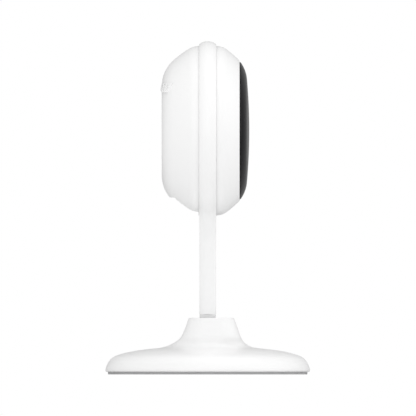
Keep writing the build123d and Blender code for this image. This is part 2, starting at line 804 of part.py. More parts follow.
# ============================================================ window
# Front window: black glossy disc with a round hole for the lens window, one for the status
# light and a pinhole for the microphone.
with BuildPart() as front_window:
    add(outer_form)
    add(slab(0, 2 * dome_depth, window_radius), mode=Mode.INTERSECT)
    add(window_back_form, mode=Mode.SUBTRACT)
    with BuildSketch(facing(0)):
        Circle(lens_window_radius + lens_window_gap)
        with Locations((0, -lamp_circle)):
            Circle(pipe_radius + window_hole_gap)
        with Locations((0, microphone_height)):
            Circle(pinhole_radius)
    extrude(amount=2 * dome_depth, mode=Mode.SUBTRACT)
front_window.part.label = "front_window"
export_step(front_window.part, "parts/front_window.step")

# Lens window: clear disc over the lens, flush with the black one.
with BuildPart() as lens_window:
    add(outer_form)
    add(slab(0, 2 * dome_depth, lens_window_radius), mode=Mode.INTERSECT)
    add(window_back_form, mode=Mode.SUBTRACT)
lens_window.part.label = "lens_window"
export_step(lens_window.part, "parts/lens_window.step")

# Window tape: a black foam adhesive ring between the window and the front shell's ledge.
with BuildPart() as window_tape:
    add(window_back_form)
    add(slab(2 * front_corner_depth, 2 * dome_depth, window_radius - tape_inset), mode=Mode.INTERSECT)
    add(tape_back_form, mode=Mode.SUBTRACT)
    add(slab(0, 2 * dome_depth, ledge_inner + tape_inset), mode=Mode.SUBTRACT)
window_tape.part.label = "window_tape"
export_step(window_tape.part, "parts/window_tape.step")

# ============================================================ inside the head
# Chassis: a black plastic plate screwed to the back shell. It carries the main board on
# three standoffs, the lamp board on four posts, and a rim that keeps light in.
with BuildPart() as chassis:
    with BuildSketch(facing(chassis_back)):
        Circle(chassis_radius)
        Circle(lens_flange + chassis_bore_gap, mode=Mode.SUBTRACT)
        with GridLocations(2 * inner_waist, inner_waist, 2, 1):
            Rectangle(
                2 * (inner_waist - pin_head_back + spring_gap),
                2 * (waist_half + bush_thickness),
                mode=Mode.SUBTRACT,
            )
        with PolarLocations(boss_circle, 4, start_angle=45):
            Circle(coarse_thread + 2 * fit_gap, mode=Mode.SUBTRACT)
    extrude(amount=chassis_thickness)
    with BuildSketch(facing(chassis_front)):
        Circle(cup_outer)
        Circle(cup_outer - cup_wall, mode=Mode.SUBTRACT)
    extrude(amount=cup_depth)
    with BuildSketch(facing(chassis_front)):
        with PolarLocations(post_circle, 4, start_angle=45):
            Circle(post_radius)
            Circle(lamp_thread + screw_gap, mode=Mode.SUBTRACT)
    extrude(amount=lamp_board_back - chassis_front)
    with BuildSketch(facing(board_front)):
        for turn in standoff_turns:
            with PolarLocations(standoff_circle, 1, start_angle=turn):
                Circle(standoff_radius)
                Circle(fine_thread + screw_gap, mode=Mode.SUBTRACT)
    extrude(amount=chassis_back - board_front)
chassis.part.label = "chassis"
export_step(chassis.part, "parts/chassis.step")

# Chassis screws: four pan heads into the back shell's bosses.
with BuildPart() as chassis_screws:
    with BuildSketch(facing(chassis_front)):
        with PolarLocations(boss_circle, 4, start_angle=45):
            Circle(coarse_head)
    extrude(amount=coarse_head_height)
    with BuildSketch(facing(board_back - board_thickness)):
        with PolarLocations(boss_circle, 4, start_angle=45):
            Circle(coarse_thread)
    extrude(amount=chassis_front - board_back + board_thickness)
chassis_screws.part.label = "chassis_screws"
export_step(chassis_screws.part, "parts/chassis_screws.step")

# Main board: a round circuit board, notched round the four bosses.
with BuildPart() as main_board:
    with BuildSketch(facing(board_back)):
        Circle(board_radius)
        with PolarLocations(boss_circle, 4, start_angle=45):
            Circle(boss_radius + cup_gap, mode=Mode.SUBTRACT)
        for turn in standoff_turns:
            with PolarLocations(standoff_circle, 1, start_angle=turn):
                Circle(fine_thread + fit_gap, mode=Mode.SUBTRACT)
    extrude(amount=board_thickness)
main_board.part.label = "main_board"
export_step(main_board.part, "parts/main_board.step")

# Board screws: three, through the main board into the chassis standoffs.
with BuildPart() as board_screws:
    with BuildSketch(facing(board_back)):
        for turn in standoff_turns:
            with PolarLocations(standoff_circle, 1, start_angle=turn):
                Circle(fine_head)
    extrude(amount=-fine_head_height)
    with BuildSketch(facing(board_back)):
        for turn in standoff_turns:
            with PolarLocations(standoff_circle, 1, start_angle=turn):
                Circle(fine_thread)
    extrude(amount=board_thickness + board_screw_bite)
board_screws.part.label = "board_screws"
export_step(board_screws.part, "parts/board_screws.step")

# Image sensor: the camera chip in the middle of the main board.
with BuildPart() as image_sensor:
    with BuildSketch(facing(board_front)):
        Rectangle(sensor_width, sensor_height)
    extrude(amount=sensor_thickness)
image_sensor.part.label = "image_sensor"
export_step(image_sensor.part, "parts/image_sensor.step")

# Lens holder: a square foot over the sensor and a threaded tube.
cavity_top = board_front + holder_cavity_depth
holder_floor = 0.6
with BuildPart() as lens_holder:
    with BuildSketch(facing(board_front)):
        RectangleRounded(holder_width, holder_width, edge_round)
    extrude(amount=holder_step)
    with BuildSketch(facing(board_front)):
        Circle(lens_thread + holder_wall)
    extrude(amount=lens_flange_depth - filter_thickness - board_front)
    with BuildSketch(facing(board_front)):
        Rectangle(holder_cavity, holder_cavity)
    extrude(amount=cavity_top - board_front, mode=Mode.SUBTRACT)
    with BuildSketch(facing(cavity_top)):
        Circle(holder_port)
    extrude(amount=lens_mouth_depth, mode=Mode.SUBTRACT)
    with BuildSketch(facing(cavity_top + holder_floor)):
        Circle(lens_thread + screw_gap)
    extrude(amount=lens_flange_depth, mode=Mode.SUBTRACT)
lens_holder.part.label = "lens_holder"
export_step(lens_holder.part, "parts/lens_holder.step")

# Infrared filter: thin glass glued under the holder's floor.
with BuildPart() as infrared_filter:
    with BuildSketch(facing(cavity_top - filter_thickness)):
        Rectangle(filter_width, filter_width)
    extrude(amount=filter_thickness)
infrared_filter.part.label = "infrared_filter"
export_step(infrared_filter.part, "parts/infrared_filter.step")

# Lens barrel: a black turned tube with a flange, screwed into the holder.
lens_seat = lens_front_depth - lens_mouth_depth
barrel_back = cavity_top + 2 * holder_floor
with BuildPart() as lens_barrel:
    with BuildSketch(facing(barrel_back)):
        Circle(lens_thread)
    extrude(amount=lens_flange_depth - barrel_back)
    with BuildSketch(facing(lens_flange_depth)):
        Circle(lens_flange)
    extrude(amount=lens_front_depth - lens_flange_depth)
    chamfer(lens_barrel.edges().group_by(Axis.Y)[0], length=barrel_chamfer)
    with BuildSketch(facing(lens_seat)):
        Circle(lens_mouth + screw_gap)
    extrude(amount=2 * lens_mouth_depth, mode=Mode.SUBTRACT)
    with BuildSketch(facing(0)):
        Circle(lens_bore + screw_gap)
    extrude(amount=lens_seat, mode=Mode.SUBTRACT)
    with BuildSketch(facing(lens_front_depth)):
        Circle(barrel_cone)
    extrude(amount=-barrel_cone_depth, taper=barrel_cone_angle, mode=Mode.SUBTRACT)
lens_barrel.part.label = "lens_barrel"
export_step(lens_barrel.part, "parts/lens_barrel.step")

# Lens glasses: a domed front glass in the barrel's mouth and a smaller one behind.
glass_round = (lens_mouth**2 + glass_rise**2) / (2 * glass_rise)
with BuildPart() as lens_glasses:
    with BuildSketch(head_side):
        with BuildLine():
            crown = CenterArc(
                (lens_seat + glass_edge + glass_rise - glass_round, 0),
                glass_round,
                0,
                math.degrees(math.asin(lens_mouth / glass_round)),
            )
            Polyline(crown @ 1, (lens_seat, lens_mouth), (lens_seat, 0), crown @ 0)
        make_face()
    revolve(axis=head_axis)
    with BuildSketch(facing(lens_seat - rear_glass_depth)):
        Circle(lens_bore)
    extrude(amount=rear_glass_thickness)
lens_glasses.part.label = "lens_glasses"
export_step(lens_glasses.part, "parts/lens_glasses.step")

# Lamp board: a ring-shaped circuit board round the lens.
with BuildPart() as lamp_board:
    with BuildSketch(facing(lamp_board_back)):
        Circle(lamp_board_radius)
        Circle(lens_flange + cup_gap, mode=Mode.SUBTRACT)
        with PolarLocations(post_circle, 4, start_angle=45):
            Circle(lamp_thread + fit_gap, mode=Mode.SUBTRACT)
    extrude(amount=lamp_board_thickness)
lamp_board.part.label = "lamp_board"
export_step(lamp_board.part, "parts/lamp_board.step")

# Lamp board screws: four small ones into the chassis posts.
with BuildPart() as lamp_board_screws:
    with BuildSketch(facing(lamp_board_front)):
        with PolarLocations(post_circle, 4, start_angle=45):
            Circle(lamp_head)
    extrude(amount=fine_head_height)
    with BuildSketch(facing(lamp_board_front)):
        with PolarLocations(post_circle, 4, start_angle=45):
            Circle(lamp_thread)
    extrude(amount=-(lamp_board_thickness + lamp_screw_bite))
lamp_board_screws.part.label = "lamp_board_screws"
export_step(lamp_board_screws.part, "parts/lamp_board_screws.step")

# Infrared lamps: domed diodes in a ring round the lens.
with BuildPart() as infrared_lamps:
    with Locations(facing(lamp_board_front)):
        with PolarLocations(lamp_circle, lamp_count, start_angle=180 / lamp_count):
            Cylinder(lamp_radius, lamp_body, align=standing)
            with Locations((0, 0, lamp_crown)):
                Sphere(lamp_radius + lamp_crown - lamp_body)
    add(slab(0, lamp_board_front), mode=Mode.SUBTRACT)
infrared_lamps.part.label = "infrared_lamps"
export_step(infrared_lamps.part, "parts/infrared_lamps.step")

# Light sensor: a small chip at the top of the lamp ring.
with BuildPart() as light_sensor:
    with BuildSketch(facing(lamp_board_front)):
        with Locations((0, lamp_circle)):
            Rectangle(sensor_chip[0], sensor_chip[1])
    extrude(amount=sensor_chip[2])
light_sensor.part.label = "light_sensor"
export_step(light_sensor.part, "parts/light_sensor.step")

# Status lamp: a small diode at the bottom of the lamp ring.
with BuildPart() as status_lamp:
    with BuildSketch(facing(lamp_board_front)):
        with Locations((0, -lamp_circle)):
            Rectangle(status_lamp_size[0], status_lamp_size[1])
    extrude(amount=status_lamp_size[2])
status_lamp.part.label = "status_lamp"
export_step(status_lamp.part, "parts/status_lamp.step")

# Light pipe: a clear rod from the status lamp to the face of the window.
with BuildPart() as light_pipe:
    with BuildSketch(facing(lamp_board_front + status_lamp_size[2])):
        with Locations((0, -lamp_circle)):
            Circle(pipe_radius)
    extrude(amount=2 * dome_depth)
    add(outer_form, mode=Mode.INTERSECT)
light_pipe.part.label = "light_pipe"
export_step(light_pipe.part, "parts/light_pipe.step")

# Microphone, with a rubber boot that leads from its port to the pinhole.
with BuildPart() as microphone:
    with BuildSketch(facing(lamp_board_front)):
        with Locations((0, microphone_height)):
            Rectangle(microphone_size[0], microphone_size[1])
    extrude(amount=microphone_size[2])
microphone.part.label = "microphone"
export_step(microphone.part, "parts/microphone.step")

with BuildPart() as microphone_boot:
    with BuildSketch(facing(lamp_board_front + microphone_size[2])):
        with Locations((0, microphone_height)):
            Circle(boot_radius)
            Circle(boot_bore, mode=Mode.SUBTRACT)
    extrude(amount=2 * dome_depth)
    add(window_back_form, mode=Mode.INTERSECT)
microphone_boot.part.label = "microphone_boot"
export_step(microphone_boot.part, "parts/microphone_boot.step")

# Light seal: a black rubber sleeve that keeps the lamps' light out of the lens.
with BuildPart() as light_seal:
    with BuildSketch(facing(lamp_board_front)):
        Circle(lens_window_radius + seal_overlap)
        Circle(lens_flange + seal_gap, mode=Mode.SUBTRACT)
    extrude(amount=2 * dome_depth)
    add(window_back_form, mode=Mode.INTERSECT)
light_seal.part.label = "light_seal"
export_step(light_seal.part, "parts/light_seal.step")

# Processor and its shield can, on the back of the main board.
with BuildPart() as processor:
    with BuildSketch(facing(board_back)):
        with Locations(can_middle):
            Rectangle(processor_width, processor_width)
    extrude(amount=-processor_thickness)
processor.part.label = "processor"
export_step(processor.part, "parts/processor.step")

with BuildPart() as shield_can:
    with BuildSketch(facing(board_back)):
        with Locations(can_middle):
            Rectangle(can_width, can_length)
    extrude(amount=-can_height)
    with BuildSketch(facing(board_back)):
        with Locations(can_middle):
            Rectangle(can_width - 2 * can_wall, can_length - 2 * can_wall)
    extrude(amount=can_wall - can_height, mode=Mode.SUBTRACT)
shield_can.part.label = "shield_can"
export_step(shield_can.part, "parts/shield_can.step")

# Heat pad: soft pad between the processor and its can.
with BuildPart() as heat_pad:
    with BuildSketch(facing(board_back - processor_thickness)):
        with Locations(can_middle):
            Rectangle(processor_width, processor_width)
    extrude(amount=-(can_height - can_wall - processor_thickness))
heat_pad.part.label = "heat_pad"
export_step(heat_pad.part, "parts/heat_pad.step")

# Card socket: a flat metal box beside the can, open to the slot in the shell.
card_middle = board_radius - card_length / 2 - card_inset
with BuildPart() as card_socket:
    with BuildSketch(facing(board_back)):
        with Locations((card_middle, 0)):
            Rectangle(card_length, card_socket_width)
    extrude(amount=-card_socket_height)
    with BuildSketch(facing(card_depth - card_thickness / 2)):
        with Locations((card_middle + card_back_wall, 0)):
            Rectangle(card_length, card_width)
    extrude(amount=card_thickness, mode=Mode.SUBTRACT)
card_socket.part.label = "card_socket"
export_step(card_socket.part, "parts/card_socket.step")

# Aerial: a thin flexible strip stuck inside the top of the back shell.
aerial_outer = inner_waist - aerial_thickness
aerial_start = 90 - aerial_angle / 2
with BuildPart() as aerial:
    with BuildSketch(facing(aerial_back)):
        with BuildLine():
            outside = CenterArc((0, 0), aerial_outer, aerial_start, aerial_angle)
            inside = CenterArc((0, 0), aerial_outer - aerial_thickness, aerial_start, aerial_angle)
            Line(outside @ 0, inside @ 0)
            Line(outside @ 1, inside @ 1)
        make_face()
    extrude(amount=aerial_width)
aerial.part.label = "aerial"
export_step(aerial.part, "parts/aerial.step")

# Speaker gasket and speaker, on the seat behind the sound slots.
with BuildPart() as speaker_gasket:
    with BuildSketch(facing(speaker_seat)):
        with Locations((0, sound_height)):
            RectangleRounded(speaker_width, speaker_height, speaker_corner)
            RectangleRounded(chamber_width, chamber_height, chamber_corner, mode=Mode.SUBTRACT)
    extrude(amount=gasket_thickness)
speaker_gasket.part.label = "speaker_gasket"
export_step(speaker_gasket.part, "parts/speaker_gasket.step")

speaker_back = speaker_seat + gasket_thickness
with BuildPart() as speaker:
    with BuildSketch(facing(speaker_back)):
        with Locations((0, sound_height)):
            RectangleRounded(speaker_width, speaker_height, speaker_corner)
    extrude(amount=speaker_depth)
    with BuildSketch(facing(speaker_back + speaker_depth)):
        with Locations((0, sound_height)):
            RectangleRounded(magnet_width, magnet_height, magnet_corner)
    extrude(amount=magnet_depth)
    with BuildSketch(facing(speaker_back)):
        with Locations((0, sound_height)):
            RectangleRounded(
                chamber_width - 2 * tilt_room,
                chamber_height - 2 * tilt_room,
                chamber_corner - tilt_room,
            )
    extrude(amount=chamber_depth, mode=Mode.SUBTRACT)
speaker.part.label = "speaker"
export_step(speaker.part, "parts/speaker.step")

# Power socket: a small steel shell with a tongue inside, in the sunken floor.
with BuildPart() as power_socket:
    with BuildSketch(socket_plane(-socket_sink)):
        RectangleRounded(socket_width, socket_height, socket_corner)
    extrude(amount=-socket_length)
    with BuildSketch(socket_plane(-socket_sink)):
        RectangleRounded(
            socket_width - 2 * socket_metal,
            socket_height - 2 * socket_metal,
            socket_corner - socket_metal,
        )
        with Locations((0, socket_tongue_rise)):
            Rectangle(socket_tongue[0], socket_tongue[1], mode=Mode.SUBTRACT)
    extrude(amount=socket_back_wall - socket_length, mode=Mode.SUBTRACT)
power_socket.part.label = "power_socket"
export_step(power_socket.part, "parts/power_socket.step")

# Socket board: a small circuit board that the power socket is soldered to.
with BuildPart() as socket_board:
    with BuildSketch(socket_plane(-socket_board_start)):
        with Locations((0, -(socket_height + socket_board_thickness) / 2)):
            Rectangle(socket_board_width, socket_board_thickness)
    extrude(amount=-socket_board_length)
socket_board.part.label = "socket_board"
export_step(socket_board.part, "parts/socket_board.step")

# Reset switch on the main board, and the button that presses it.
with BuildPart() as reset_switch:
    with BuildSketch(facing(board_back)):
        with Locations((0, button_height)):
            Rectangle(switch_width, switch_width)
    extrude(amount=-switch_body)
    with BuildSketch(facing(board_back)):
        with Locations((0, button_height)):
            Circle(switch_knob)
    extrude(amount=-switch_height)
reset_switch.part.label = "reset_switch"
export_step(reset_switch.part, "parts/reset_switch.step")

inner_back = shell_wall - back_depth
with BuildPart() as reset_button:
    with BuildSketch(facing(button_sink - back_depth)):
        with Locations((0, button_height)):
            Circle(button_radius)
    extrude(amount=shell_wall)
    chamfer(reset_button.edges().group_by(Axis.Y)[-1], length=button_chamfer)
    with BuildSketch(facing(inner_back)):
        with Locations((0, button_height)):
            Circle(button_radius + button_flange)
    extrude(amount=button_flange_thickness)
    with BuildSketch(facing(inner_back)):
        with Locations((0, button_height)):
            Circle(plunger_radius)
    extrude(amount=board_back - switch_height - button_travel - fit_gap - inner_back)
reset_button.part.label = "reset_button"
export_step(reset_button.part, "parts/reset_button.step")
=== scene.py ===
import math

import bmesh
import bpy
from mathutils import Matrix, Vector


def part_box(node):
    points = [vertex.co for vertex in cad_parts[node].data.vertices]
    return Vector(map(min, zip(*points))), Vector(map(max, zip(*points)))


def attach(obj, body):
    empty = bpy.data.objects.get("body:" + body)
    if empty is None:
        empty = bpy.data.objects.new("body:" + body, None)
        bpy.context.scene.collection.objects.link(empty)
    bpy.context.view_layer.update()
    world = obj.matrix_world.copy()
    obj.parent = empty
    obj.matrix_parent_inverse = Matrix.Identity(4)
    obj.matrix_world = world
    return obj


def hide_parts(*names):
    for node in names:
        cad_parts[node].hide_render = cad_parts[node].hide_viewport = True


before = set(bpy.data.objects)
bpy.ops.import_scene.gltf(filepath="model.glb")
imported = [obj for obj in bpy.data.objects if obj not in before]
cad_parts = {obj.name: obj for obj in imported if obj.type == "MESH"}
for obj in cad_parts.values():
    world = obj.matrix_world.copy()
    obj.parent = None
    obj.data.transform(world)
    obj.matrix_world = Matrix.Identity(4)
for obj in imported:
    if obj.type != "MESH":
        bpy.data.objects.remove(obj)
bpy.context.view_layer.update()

mm = 0.001

# ============================================================ camera
# The camera stands square to the side of the head, level with the desk, and
# sees the whole object without perspective.
view_width = 145.6 * mm
view_middle = Vector((-500, -0.1, 58.24)) * mm
lens = bpy.data.cameras.new("side_camera")
lens.type = "ORTHO"
lens.ortho_scale = view_width
lens.clip_start = 0.01
lens.clip_end = 20
camera = bpy.data.objects.new("side_camera", lens)
camera.location = view_middle
camera.rotation_euler = (math.radians(90), 0, math.radians(-90))
bpy.context.scene.collection.objects.link(camera)
bpy.context.scene.camera = camera
bpy.context.scene.view_settings.view_transform = "Standard"

# ============================================================ studio
# A white sweep under a white sky of light, with broad soft panels overhead, on the camera's
# side and in front of the object. The floor is plain, pale and matt.
sky_strength = 1.0
sky_in_gloss = (0.24, 0.24, 0.24, 1)
side_panel = ("side_panel", (-1.15, 0.2, 0.2), 1.2, 2.8)
top_panel = ("top_panel", (-0.3, -0.3, 1.6), 1.2, 5.3)
front_panel = ("front_panel", (-0.05, -1.3, 0.5), 1.2, 1.6)
studio_aim = Vector((0, 0, 60)) * mm
sky = bpy.data.worlds.new("studio_sky")
sky.use_nodes = True
sky_nodes = sky.node_tree.nodes
sky_ray = sky_nodes.new("ShaderNodeLightPath")
sky_colour = sky_nodes.new("ShaderNodeMix")
sky_colour.data_type = "RGBA"
sky_colour.inputs[6].default_value = (1, 1, 1, 1)
sky_colour.inputs[7].default_value = sky_in_gloss
sky.node_tree.links.new(sky_ray.outputs["Is Glossy Ray"], sky_colour.inputs["Factor"])
sky.node_tree.links.new(sky_colour.outputs[2], sky_nodes["Background"].inputs["Color"])
sky_nodes["Background"].inputs["Strength"].default_value = sky_strength
bpy.context.scene.world = sky
for panel_name, panel_place, panel_size, panel_power in (side_panel, top_panel, front_panel):
    panel = bpy.data.lights.new(panel_name, "AREA")
    panel.size = panel_size
    panel.energy = panel_power
    panel_object = bpy.data.objects.new(panel_name, panel)
    panel_object.location = panel_place
    aim = studio_aim - Vector(panel_place)
    panel_object.rotation_euler = aim.to_track_quat("-Z", "Y").to_euler()
    bpy.context.scene.collection.objects.link(panel_object)


def deselect():
    """Leaves nothing selected, so that the next operator touches only its own piece."""
    if bpy.context.object and bpy.context.object.mode != "OBJECT":
        bpy.ops.object.mode_set(mode="OBJECT")
    bpy.ops.object.select_all(action="DESELECT")


def principled(name):
    """A new material and its main shader."""
    material = bpy.data.materials.new(name)
    material.use_nodes = True
    return material, material.node_tree.nodes["Principled BSDF"]


floor_size = 6.0
deselect()
bpy.ops.mesh.primitive_plane_add(size=floor_size)
floor = bpy.context.object
floor.name = "studio_floor"
floor_paint, shader = principled("studio_floor")
shader.inputs["Base Color"].default_value = (0.9, 0.9, 0.9, 1)
shader.inputs["Roughness"].default_value = 0.9
floor.data.materials.append(floor_paint)
floor.visible_glossy = False


# ============================================================ foot pad
# Grey silicone rubber ring, die cut and stuck under the base plate with its own adhesive.
# Its underside has fine turned grooves, and its rim shows as a thin grey line.
def grain_group():
    """Grain of a moulded or coated surface: a slow drift of tone and a fine stipple."""
    group = bpy.data.node_groups.new("surface_grain", "ShaderNodeTree")
    face = group.interface
    face.new_socket("Place", in_out="INPUT", socket_type="NodeSocketVector")
    face.new_socket("Light tone", in_out="INPUT", socket_type="NodeSocketColor")
    face.new_socket("Deep tone", in_out="INPUT", socket_type="NodeSocketColor")
    face.new_socket("Drift scale", in_out="INPUT", socket_type="NodeSocketFloat")
    face.new_socket("Grain scale", in_out="INPUT", socket_type="NodeSocketFloat")
    face.new_socket("Least rough", in_out="INPUT", socket_type="NodeSocketFloat")
    face.new_socket("Most rough", in_out="INPUT", socket_type="NodeSocketFloat")
    face.new_socket("Tone", in_out="OUTPUT", socket_type="NodeSocketColor")
    face.new_socket("Roughness", in_out="OUTPUT", socket_type="NodeSocketFloat")
    face.new_socket("Height", in_out="OUTPUT", socket_type="NodeSocketFloat")
    nodes = group.nodes
    link = group.links.new
    start = nodes.new("NodeGroupInput")
    end = nodes.new("NodeGroupOutput")
    drift = nodes.new("ShaderNodeTexNoise")
    drift.inputs["Detail"].default_value = 3
    link(start.outputs["Place"], drift.inputs["Vector"])
    link(start.outputs["Drift scale"], drift.inputs["Scale"])
    tone = nodes.new("ShaderNodeMix")
    tone.data_type = "RGBA"
    link(drift.outputs["Fac"], tone.inputs["Factor"])
    link(start.outputs["Light tone"], tone.inputs[6])
    link(start.outputs["Deep tone"], tone.inputs[7])
    link(tone.outputs[2], end.inputs["Tone"])
    grain = nodes.new("ShaderNodeTexNoise")
    grain.inputs["Detail"].default_value = 2
    link(start.outputs["Place"], grain.inputs["Vector"])
    link(start.outputs["Grain scale"], grain.inputs["Scale"])
    rough = nodes.new("ShaderNodeMapRange")
    rough.inputs["From Min"].default_value = 0.3
    rough.inputs["From Max"].default_value = 0.7
    link(grain.outputs["Fac"], rough.inputs["Value"])
    link(start.outputs["Least rough"], rough.inputs["To Min"])
    link(start.outputs["Most rough"], rough.inputs["To Max"])
    link(rough.outputs["Result"], end.inputs["Roughness"])
    link(grain.outputs["Fac"], end.inputs["Height"])
    return group


surface_grain = grain_group()


def toned(name, light, deep, drift, grain, least, most):
    """A material whose tone and roughness come from the grain group, and the group's node."""
    material, shader = principled(name)
    nodes = material.node_tree.nodes
    link = material.node_tree.links.new
    place = nodes.new("ShaderNodeTexCoord")
    texture = nodes.new("ShaderNodeGroup")
    texture.node_tree = surface_grain
    texture.inputs["Light tone"].default_value = (*light, 1)
    texture.inputs["Deep tone"].default_value = (*deep, 1)
    texture.inputs["Drift scale"].default_value = drift
    texture.inputs["Grain scale"].default_value = grain
    texture.inputs["Least rough"].default_value = least
    texture.inputs["Most rough"].default_value = most
    link(place.outputs["Object"], texture.inputs["Place"])
    link(texture.outputs["Tone"], shader.inputs["Base Color"])
    link(texture.outputs["Roughness"], shader.inputs["Roughness"])
    return material, shader, texture


def grained(name, light, deep, drift, grain, least, most, bump, depth):
    """A toned material with the same grain as its relief."""
    material, shader, texture = toned(name, light, deep, drift, grain, least, most)
    link = material.node_tree.links.new
    relief = material.node_tree.nodes.new("ShaderNodeBump")
    relief.inputs["Strength"].default_value = bump
    relief.inputs["Distance"].default_value = depth
    link(texture.outputs["Height"], relief.inputs["Height"])
    link(relief.outputs["Normal"], shader.inputs["Normal"])
    return material, shader


weld = 0.002 * mm


def lathe(name, outline, place, steps):
    """Spins an outline of (radius, rise) pairs round the piece's own upright axis.

    place(radius, rise) gives the point in the frame; the axis runs through place(0, 0).
    """
    deselect()
    first = place(*outline[0])
    bpy.ops.mesh.primitive_plane_add(size=mm, location=first)
    piece = bpy.context.object
    piece.name = name
    piece.data.name = name
    bpy.ops.object.transform_apply(location=True, rotation=True, scale=True)
    bpy.ops.object.mode_set(mode="EDIT")
    bpy.ops.mesh.select_all(action="SELECT")
    bpy.ops.mesh.merge(type="CENTER")
    for before, after in zip(outline, outline[1:]):
        step = place(*after) - place(*before)
        bpy.ops.mesh.extrude_region_move(TRANSFORM_OT_translate={"value": step})
    bpy.ops.mesh.select_all(action="SELECT")
    bpy.ops.mesh.spin(
        steps=steps,
        angle=math.tau,
        center=place(0, 0),
        axis=(place(0, mm) - place(0, 0)).normalized(),
    )
    bpy.ops.mesh.select_all(action="SELECT")
    bpy.ops.mesh.remove_doubles(threshold=weld)
    bpy.ops.mesh.normals_make_consistent(inside=False)
    bpy.ops.object.mode_set(mode="OBJECT")
    return piece


def upright(radius, rise):
    """A point of an outline that turns about the base's own axis."""
    return Vector((radius, 0, rise))


def round_over(centre, radius, start, end, count):
    """Points along an arc, as (radius, rise) pairs; angles in degrees."""
    turns = [start + (end - start) * i / count for i in range(count + 1)]
    return [
        (
            centre[0] + radius * math.cos(math.radians(turn)),
            centre[1] + radius * math.sin(math.radians(turn)),
        )
        for turn in turns
    ]


def settle(piece, material, body, stands_for=(), crease=32):
    """Smooths a finished piece, paints it and hangs it on its body."""
    deselect()
    piece.select_set(True)
    bpy.context.view_layer.objects.active = piece
    bpy.ops.object.shade_smooth_by_angle(angle=math.radians(crease))
    piece.data.materials.clear()
    piece.data.materials.append(material)
    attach(piece, body)
    if stands_for:
        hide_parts(*stands_for)


pad_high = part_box("foot_pad")[1]
pad_outer = pad_high.x
pad_top = pad_high.z
pad_inner = 22.0 * mm
pad_edge = 0.2 * mm
groove_depth = 0.12 * mm
groove_pitch = 0.8 * mm
groove_margin = 0.9 * mm
groove_start, groove_end, groove_land = (share * groove_pitch for share in (0.15, 0.35, 0.5))
pad_outline = [(pad_inner, pad_top), (pad_inner, pad_edge)]
pad_outline += [(pad_inner + pad_edge, 0)]
groove = pad_inner + groove_margin
while groove + groove_pitch < pad_outer - groove_margin:
    pad_outline += [(groove, 0), (groove + groove_start, groove_depth)]
    pad_outline += [(groove + groove_end, groove_depth), (groove + groove_land, 0)]
    groove += groove_pitch
pad_outline += round_over((pad_outer - pad_edge, pad_edge), pad_edge, -90, 0, 4)
pad_outline += [(pad_outer, pad_top), (pad_inner, pad_top)]
foot_pad = lathe("rubber_foot", pad_outline, upright, 160)
rubber, shader = grained(
    "grey_rubber", (0.46, 0.46, 0.465), (0.38, 0.38, 0.385), 60, 2600, 0.62, 0.85, 0.25, 0.00005
)
settle(foot_pad, rubber, "base", ["foot_pad"])


# ============================================================ base plate and its screws
# White plastic disc that closes the base from below, with a sunken middle. Four zinc plated
# screws hold it, and the foot pad hides them.
def repaint(node, material):
    """Gives a CAD node its finish."""
    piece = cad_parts[node]
    piece.data.materials.clear()
    piece.data.materials.append(material)


plate_plastic, shader = grained(
    "base_plate_plastic", (0.80, 0.80, 0.795), (0.76, 0.76, 0.755), 45, 3200, 0.42, 0.6, 0.2, 0.00004
)
repaint("base_plate", plate_plastic)

zinc, shader = grained(
    "zinc_plate", (0.66, 0.67, 0.69), (0.52, 0.53, 0.55), 500, 5200, 0.22, 0.42, 0.15, 0.00002
)
shader.inputs["Metallic"].default_value = 1.0
repaint("base_screws", zinc)

# ============================================================ hinge inside the base
# Steel ballast ring, a bent steel bracket, its screws and the pin that the stem's knuckle
# turns on. Friction washers each side of the knuckle hold the tilt.
rolled_steel, shader = grained(
    "rolled_steel", (0.56, 0.56, 0.57), (0.40, 0.40, 0.41), 220, 3600, 0.3, 0.55, 0.2, 0.00003
)
shader.inputs["Metallic"].default_value = 1.0
for node in ("ballast_plate", "hinge_bracket", "hinge_pin", "friction_washers"):
    repaint(node, rolled_steel)
repaint("bracket_screws", zinc)

# ============================================================ base cover
# White satin ABS moulding: a low dome that flares up into a rounded rectangular neck. The
# slot in the neck's top lets the stem tilt further forwards than back.
corner_steps = 22


def rounded_ring(half_x, half_y, corner, shift, height):
    """A level ring of points round a rounded rectangle, the same count at every size."""
    corner = min(corner, half_x, half_y)
    points = []
    for quarter in range(4):
        side_x = (1, -1, -1, 1)[quarter]
        side_y = (1, 1, -1, -1)[quarter]
        for step in range(corner_steps + 1):
            turn = math.radians(90 * (quarter + step / corner_steps))
            points.append(
                Vector(
                    (
                        side_x * (half_x - corner) + corner * math.cos(turn),
                        shift + side_y * (half_y - corner) + corner * math.sin(turn),
                        height,
                    )
                )
            )
    return points


